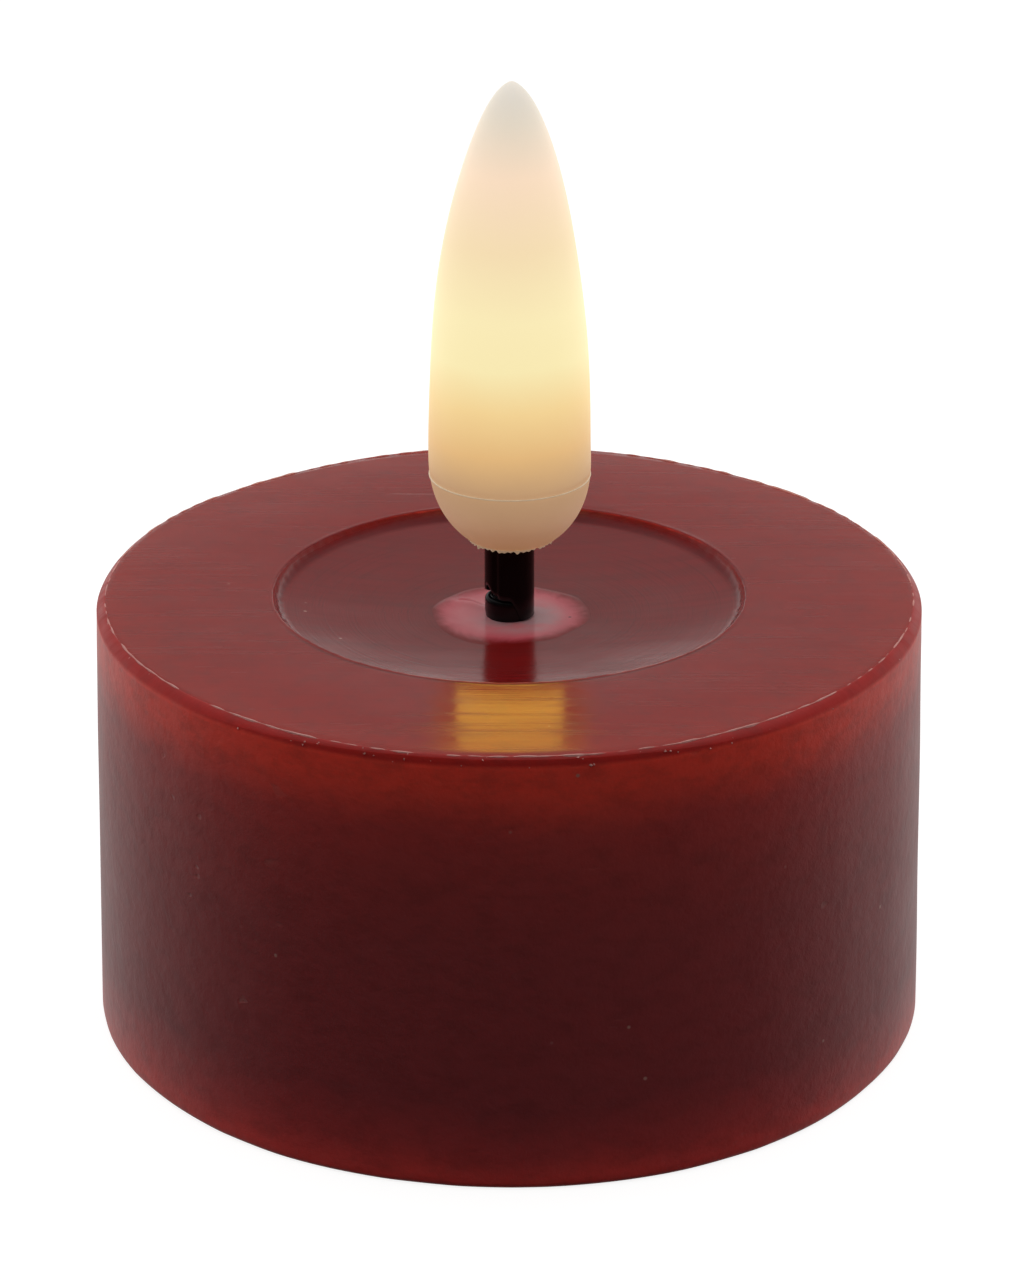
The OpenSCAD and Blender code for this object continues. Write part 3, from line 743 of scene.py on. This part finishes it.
def build_post(material):
    """The wick's foot: narrower than the sleeve, with a soft shoulder and a fillet at the wax."""
    top, floor = POST_HIGH.z, dish_z(0)
    shoulder = 0.22 * MM
    bore = 0.85 * MM

    def shape(points):
        seen = smooth(points[:, 2], floor - 0.4 * MM, floor)
        points[:, 0] -= seen * 0.06 * MM
        points[:, :2] *= (1 + lumps(points, 0.9 * MM, 19) * 0.035 * seen)[:, None]
        return points

    profile = (
        [(bore, POST_LOW.z), (POST_R, POST_LOW.z)]
        + line((POST_R, POST_LOW.z), (POST_R, floor - 0.3 * MM), 4)[1:]
        + line((POST_R * 0.93, floor - 0.1 * MM), (POST_R, floor + 0.35 * MM), 4)
        + line((POST_R, floor + 0.35 * MM), (POST_R, top - shoulder), 6)
        + arc(POST_R - shoulder, top - shoulder, shoulder, 0, 90, 6)
        + [(bore, top)]
        + line((bore, top), (bore, POST_LOW.z), 8)[1:]
    )
    piece = lathe("wick_foot", profile, 96, material, closed=True, shape=shape)
    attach(piece, "candle")
    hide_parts("wick_post")


# Flame ------------------------------------------------------------------------------------


FLAME_SIDES = 160


def flame_r(z):
    """Radius of the flame at height z: a full bowl below its widest place, a long cap above it."""
    if z < FLAME_WIDE_Z:
        down = (FLAME_WIDE_Z - z) / (FLAME_WIDE_Z - FLAME_FOOT_Z)
        return FLAME_R * math.sqrt(1 - down**BOWL_BELLY)
    up = (z - FLAME_WIDE_Z) / (TIP_Z - FLAME_WIDE_Z)
    return FLAME_R * (1 - up**CAP_BELLY) ** CAP_POINT


def shape_flame(points):
    """A moulded flame is never quite round or straight."""
    up = (points[:, 2] - FLAME_FOOT_Z) / (TIP_Z - FLAME_FOOT_Z)
    points[:, 0] += (0.10 * smooth(up, 0.6, 1.0) + 0.10 * smooth(up, 0.25, 0.0)) * MM
    swell = lumps(points, 5 * MM, 23) * 0.05 * MM
    r, _ = polar(points)
    points[:, :2] *= (1 + swell / np.maximum(r, 1 * MM))[:, None]
    return points


def build_flame_cap(material):
    """The cap of the flame, hollow for the lamp, with its rings of points crowded at the tip."""
    gap = 0.1 * MM
    dome_r, flange_h = 1.5 * MM, 1.0 * MM
    hollow_r = dome_r + gap
    flange_r = LENS_HIGH.x + gap
    dome_z = LENS_HIGH.z - dome_r
    flange_z = LENS_LOW.z + flange_h + gap
    tip_crowding = 1.5
    heights = TIP_Z - (TIP_Z - SEAM_Z) * (1 - np.linspace(0, 1, 90)) ** tip_crowding
    outer = [(flame_r(z), z) for z in heights[:-1]] + [(0, TIP_Z)]
    slopes = np.radians(np.linspace(0, 90, 9))
    inner = (
        [(hollow_r * math.sin(a), dome_z + hollow_r * math.cos(a)) for a in slopes]
        + [(hollow_r, flange_z), (flange_r, flange_z), (flange_r, SEAM_Z)]
    )
    outer_piece = lathe("flame_cap", outer, FLAME_SIDES, material, shape=shape_flame)
    inner_piece = lathe("flame_hollow", inner, FLAME_SIDES, material, shape=shape_flame)
    last_ring = len(inner) - 2  # the first point is the pole, which is no ring
    return join_shell(outer_piece, inner_piece, 0, last_ring, FLAME_SIDES)


def join_shell(outer, inner, outer_ring, inner_ring, sides):
    """Joins two turned surfaces into one closed solid with a flat rim between a ring of each."""
    count = len(outer.data.vertices)
    points = [tuple(v.co) for v in outer.data.vertices] + [tuple(v.co) for v in inner.data.vertices]
    faces = [tuple(p.vertices) for p in outer.data.polygons]
    faces += [tuple(i + count for i in p.vertices) for p in inner.data.polygons]
    for j in range(sides):
        k = (j + 1) % sides
        a, b = outer_ring * sides, count + inner_ring * sides
        faces.append((a + k, a + j, b + j, b + k))
    name, material = outer.name, outer.data.materials[0]
    for piece in (outer, inner):
        bpy.data.objects.remove(piece)
    return add_mesh(name, points, faces, material)


def build_flame_bowl(material):
    """The bowl of the flame, bored for the wick's sleeve and the lamp's leads."""
    top = BOWL_HIGH.z
    bore = SLEEVE_R + 0.04 * MM
    blind = FLAME_FOOT_Z + 2.5 * MM
    low = FLAME_CUT_Z
    outer = [(flame_r(z), z) for z in np.linspace(low, top, 44)]
    profile = (
        [(0, blind), (bore, blind), (bore, low)]
        + outer
        + [(FLAME_R * 0.5, top), (0, top)]
    )
    return lathe("flame_bowl", profile, FLAME_SIDES, material, shape=shape_flame)


def build_flame_flash(material):
    """The raised seam round the flame and the ragged lip at its foot."""
    sides = 480
    angle = np.arange(sides) * TURN / sides
    left = smooth(-np.cos(angle - 0.5), -0.4, 0.9)
    seam = (0.018 + 0.022 * left + np.abs(waves(angle, 61, 0.010, (9, 17, 31)))) * MM
    rag = waves(angle, 67, 1.0, (5, 11, 19, 31, 43))
    drop = np.maximum(0.06 + 0.06 * rag + 0.05 * left, 0.01) * MM
    seam_r = flame_r(SEAM_Z)
    lip_z = FLAME_CUT_Z
    lip_r = flame_r(lip_z)
    half = 0.045 * MM
    bands = [
        [
            (seam_r - 0.05 * MM, SEAM_Z - half, 0),
            (seam_r, SEAM_Z - half * 0.5, seam),
            (seam_r, SEAM_Z + half * 0.3, seam),
            (seam_r - 0.05 * MM, SEAM_Z + half, 0),
        ],
        [
            (lip_r - 0.26 * MM, lip_z + 0.05 * MM, 0),
            (lip_r - 0.16 * MM, lip_z - drop * 0.8, 0),
            (lip_r - 0.02 * MM, lip_z - drop, 0.03 * MM * rag),
            (lip_r + 0.03 * MM, lip_z + 0.02 * MM, 0.025 * MM * rag),
            (lip_r - 0.02 * MM, lip_z + 0.08 * MM, 0),
        ],
    ]
    points, faces = np.zeros((0, 3)), []
    for band in bands:
        first = len(points)
        for r, z, out in band:
            points = np.vstack([points, around(r + out, z, angle)])
        faces += ring_faces(len(band), sides, first=first)
    piece = add_mesh("flame_flash", shape_flame(points), faces, material)
    piece.data.shade_flat()
    return piece


def build_flame(glow, pale):
    """The flame: a cap and a bowl that glow, and the pale flash where they meet and at the foot."""
    cap = build_flame_cap(glow)
    bowl = build_flame_bowl(glow)
    flash = build_flame_flash(pale)
    for piece in (cap, bowl, flash):
        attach(piece, "candle")
    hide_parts("flame_shell")
    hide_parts("flame_base")


# CAD nodes that keep their shape ------------------------------------------------------------


def dress_cad_nodes():
    """Gives each CAD node that stays its own finish."""
    module = moulded_material("module_black", (0.012, 0.012, 0.013), (0.024, 0.024, 0.026), 0.46)
    door = moulded_material("door_black", (0.014, 0.014, 0.015), (0.027, 0.027, 0.029), 0.42)
    tin = metal_material("tinned", (0.62, 0.63, 0.65), (0.78, 0.79, 0.80), 0.25)
    nickel = metal_material("nickel", (0.55, 0.55, 0.54), (0.72, 0.71, 0.69), 0.18, (6000, 6000, 6000))
    zinc = metal_material("zinc", (0.50, 0.51, 0.52), (0.68, 0.69, 0.70), 0.22, (2500, 2500, 900))
    bronze = metal_material("bronze", (0.52, 0.40, 0.17), (0.74, 0.60, 0.30), 0.2)
    lithium = metal_material("lithium_grey", (0.34, 0.34, 0.35), (0.46, 0.46, 0.47), 0.5)
    mix = moulded_material("cathode_black", (0.016, 0.016, 0.017), (0.03, 0.03, 0.032), 0.8, 5200)
    compound = moulded_material("chip_black", (0.010, 0.010, 0.012), (0.02, 0.02, 0.022), 0.5, 5200)
    gasket = moulded_material("gasket_blue", (0.03, 0.05, 0.08), (0.05, 0.08, 0.12), 0.5)
    tan = moulded_material("capacitor_tan", (0.42, 0.26, 0.12), (0.56, 0.38, 0.20), 0.45, 4200)
    phenolic = moulded_material("phenolic_brown", (0.14, 0.07, 0.03), (0.24, 0.12, 0.06), 0.5, 1600)
    ivory = moulded_material("knob_ivory", (0.70, 0.68, 0.62), (0.80, 0.78, 0.72), 0.38)
    finishes = {
        module: ("housing_cup", "base_plate"),
        door: ("battery_door",),
        tin: ("led_legs", "chip_pins", "switch_pins", "solder_joints"),
        nickel: ("cell_can", "cell_cap", "timer_crystal", "switch_frame"),
        zinc: ("housing_screws",),
        bronze: ("positive_contact", "negative_contact", "switch_wiper"),
        lithium: ("cell_anode",),
        mix: ("cell_cathode",),
        compound: ("timer_chip", "resistors"),
        gasket: ("cell_gasket",),
        tan: ("capacitor",),
        phenolic: ("switch_base",),
        ivory: ("switch_slider",),
        board_material(): ("circuit_board",),
        lens_material(): ("led_lens",),
        chip_material(): ("led_chip",),
    }
    for material, names in finishes.items():
        for name in names:
            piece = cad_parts[name]
            piece.data.materials.clear()
            piece.data.materials.append(material)


# Stage ------------------------------------------------------------------------------------


def build_world():
    """Soft studio light: bright above and behind, dim in front, where the camera stands. What is
    above shows less in the gloss, and behind the candle the camera sees plain white."""
    world = bpy.data.worlds.new("studio")
    bpy.context.scene.world = world
    world.use_nodes = True
    tree = world.node_tree
    sky = tree.nodes["Background"]

    def part(kind, **settings):
        made = tree.nodes.new(kind)
        for key, value in settings.items():
            setattr(made, key, value)
        return made

    def spread(socket, low, high, to_low, to_high):
        made = part("ShaderNodeMapRange", interpolation_type="SMOOTHSTEP")
        tree.links.new(socket, made.inputs["Value"])
        limits = {"From Min": low, "From Max": high, "To Min": to_low, "To Max": to_high}
        for key, value in limits.items():
            made.inputs[key].default_value = value
        return made.outputs[0]

    place = part("ShaderNodeTexCoord").outputs["Generated"]
    split = part("ShaderNodeSeparateXYZ")
    tree.links.new(place, split.inputs[0])
    behind = spread(split.outputs[1], -0.45, 0.9, 0.04, 1.0)
    above = spread(split.outputs[2], 0.45, 0.85, 0.0, 1.1)
    height = spread(split.outputs[2], -1.0, 1.0, 0.0, 1.0)
    height.node.interpolation_type = "LINEAR"
    band = part("ShaderNodeValToRGB")
    tree.links.new(height, band.inputs["Fac"])
    stops = ((0.0, 0.35), (0.30, 0.60), (0.45, 0.85), (0.54, 0.85), (0.625, 0.42), (0.70, 0.38))
    while len(band.color_ramp.elements) < len(stops):
        band.color_ramp.elements.new(0.5)
    for element, (at, level) in zip(band.color_ramp.elements, stops):
        element.position = at
        element.color = (level, level, level, 1)

    def combine(operation, a, b):
        made = part("ShaderNodeMath", operation=operation)
        tree.links.new(a, made.inputs[0])
        tree.links.new(b, made.inputs[1])
        return made.outputs[0]

    lit = combine("MULTIPLY", behind, band.outputs["Color"])
    ray = part("ShaderNodeLightPath")
    share_in_gloss = 0.3
    for_gloss = spread(ray.outputs["Is Glossy Ray"], 0.0, 1.0, 1.0, share_in_gloss)
    light = combine("ADD", lit, combine("MULTIPLY", above, for_gloss))
    tree.links.new(combine("MAXIMUM", light, ray.outputs["Is Camera Ray"]), sky.inputs["Strength"])
    sky.inputs["Color"].default_value = (1.0, 0.985, 0.965, 1)


def build_floor():
    """A plain pale floor. It is left out of the gloss, which comes from the studio light alone, and
    it is clear from below, so that the underside can be seen."""
    half = 1.5
    g = Graph("floor_pale")
    g.set(Base_Color=(0.30, 0.30, 0.30, 1), Roughness=1.0, Specular_IOR_Level=0.0)
    g.set(Emission_Color=(1, 1, 1, 1), Emission_Strength=0.86)
    below = g.add("ShaderNodeNewGeometry").outputs["Backfacing"]
    g.set(Alpha=g.math("SUBTRACT", 1.0, below))
    corners = [(-half, -half, 0), (half, -half, 0), (half, half, 0), (-half, half, 0)]
    floor = add_mesh("floor", corners, [(0, 1, 2, 3)], g.material)
    clearance = 0.02 * MM
    floor.location.z = -clearance
    floor.visible_glossy = False
    floor.visible_diffuse = False


def build_lamp_glow():
    """The warm light that the flame throws on the top of the wax, as a ring of small panels."""
    panels = 8
    low, high = FLAME_WIDE_Z - 3.9 * MM, FLAME_WIDE_Z + 2.6 * MM
    ring_r = FLAME_R + 0.06 * MM
    width = 1.26 * ring_r
    radiance, amber = 0.90, (1.0, 0.60, 0.06)
    for i in range(panels):
        turn = TURN * i / panels
        data = bpy.data.lights.new(f"glow_{i}", "AREA")
        data.shape = "RECTANGLE"
        data.size, data.size_y = width, high - low
        data.spread = math.radians(85)
        data.energy = radiance * math.pi * width * (high - low)
        data.color = amber
        lamp = bpy.data.objects.new(f"glow_{i}", data)
        out = Vector((math.cos(turn), math.sin(turn), 0))
        lamp.location = out * ring_r + Vector((0, 0, (low + high) / 2))
        lamp.rotation_euler = (math.pi / 2, 0, turn - math.pi / 2)
        bpy.context.scene.collection.objects.link(lamp)


def build_side_lights():
    """Two large soft lights, left and right and a little behind, left out of the gloss."""
    distance, height, turn = 0.35, 0.03, math.radians(20)
    width, tall, power = 0.3, 0.2, 0.28
    for side in (-1, 1):
        data = bpy.data.lights.new(f"side_{side}", "AREA")
        data.shape = "RECTANGLE"
        data.size, data.size_y = width, tall
        data.energy = power
        lamp = bpy.data.objects.new(f"side_{side}", data)
        lamp.location = (side * distance * math.cos(turn), distance * math.sin(turn), height)
        lamp.rotation_euler = (math.pi / 2, 0, side * (math.pi / 2 + turn))
        lamp.visible_glossy = False
        bpy.context.scene.collection.objects.link(lamp)


def build_camera():
    """The camera stands low in front, looking down on the top of the wax."""
    elevation = math.radians(22.7)
    distance = 212.9 * MM
    target = Vector((-0.093 * MM, 0, 19.02 * MM))
    data = bpy.data.cameras.new("camera")
    data.lens = 122.65
    data.sensor_width = 36
    data.clip_start = 0.01
    camera = bpy.data.objects.new("camera", data)
    camera.location = target + Vector((0, -math.cos(elevation), math.sin(elevation))) * distance
    camera.rotation_euler = (math.pi / 2 - elevation, 0, 0)
    bpy.context.scene.collection.objects.link(camera)
    bpy.context.scene.camera = camera


build_wax(wax_material())
build_plug(plug_material())
build_rim_flash(flash_material())
wick = black_material()
build_sleeve(wick)
build_post(wick)
build_flame(flame_material(), lip_material())
dress_cad_nodes()
build_world()
build_floor()
build_lamp_glow()
build_side_lights()
build_camera()
bpy.context.scene.view_settings.view_transform = "Standard"
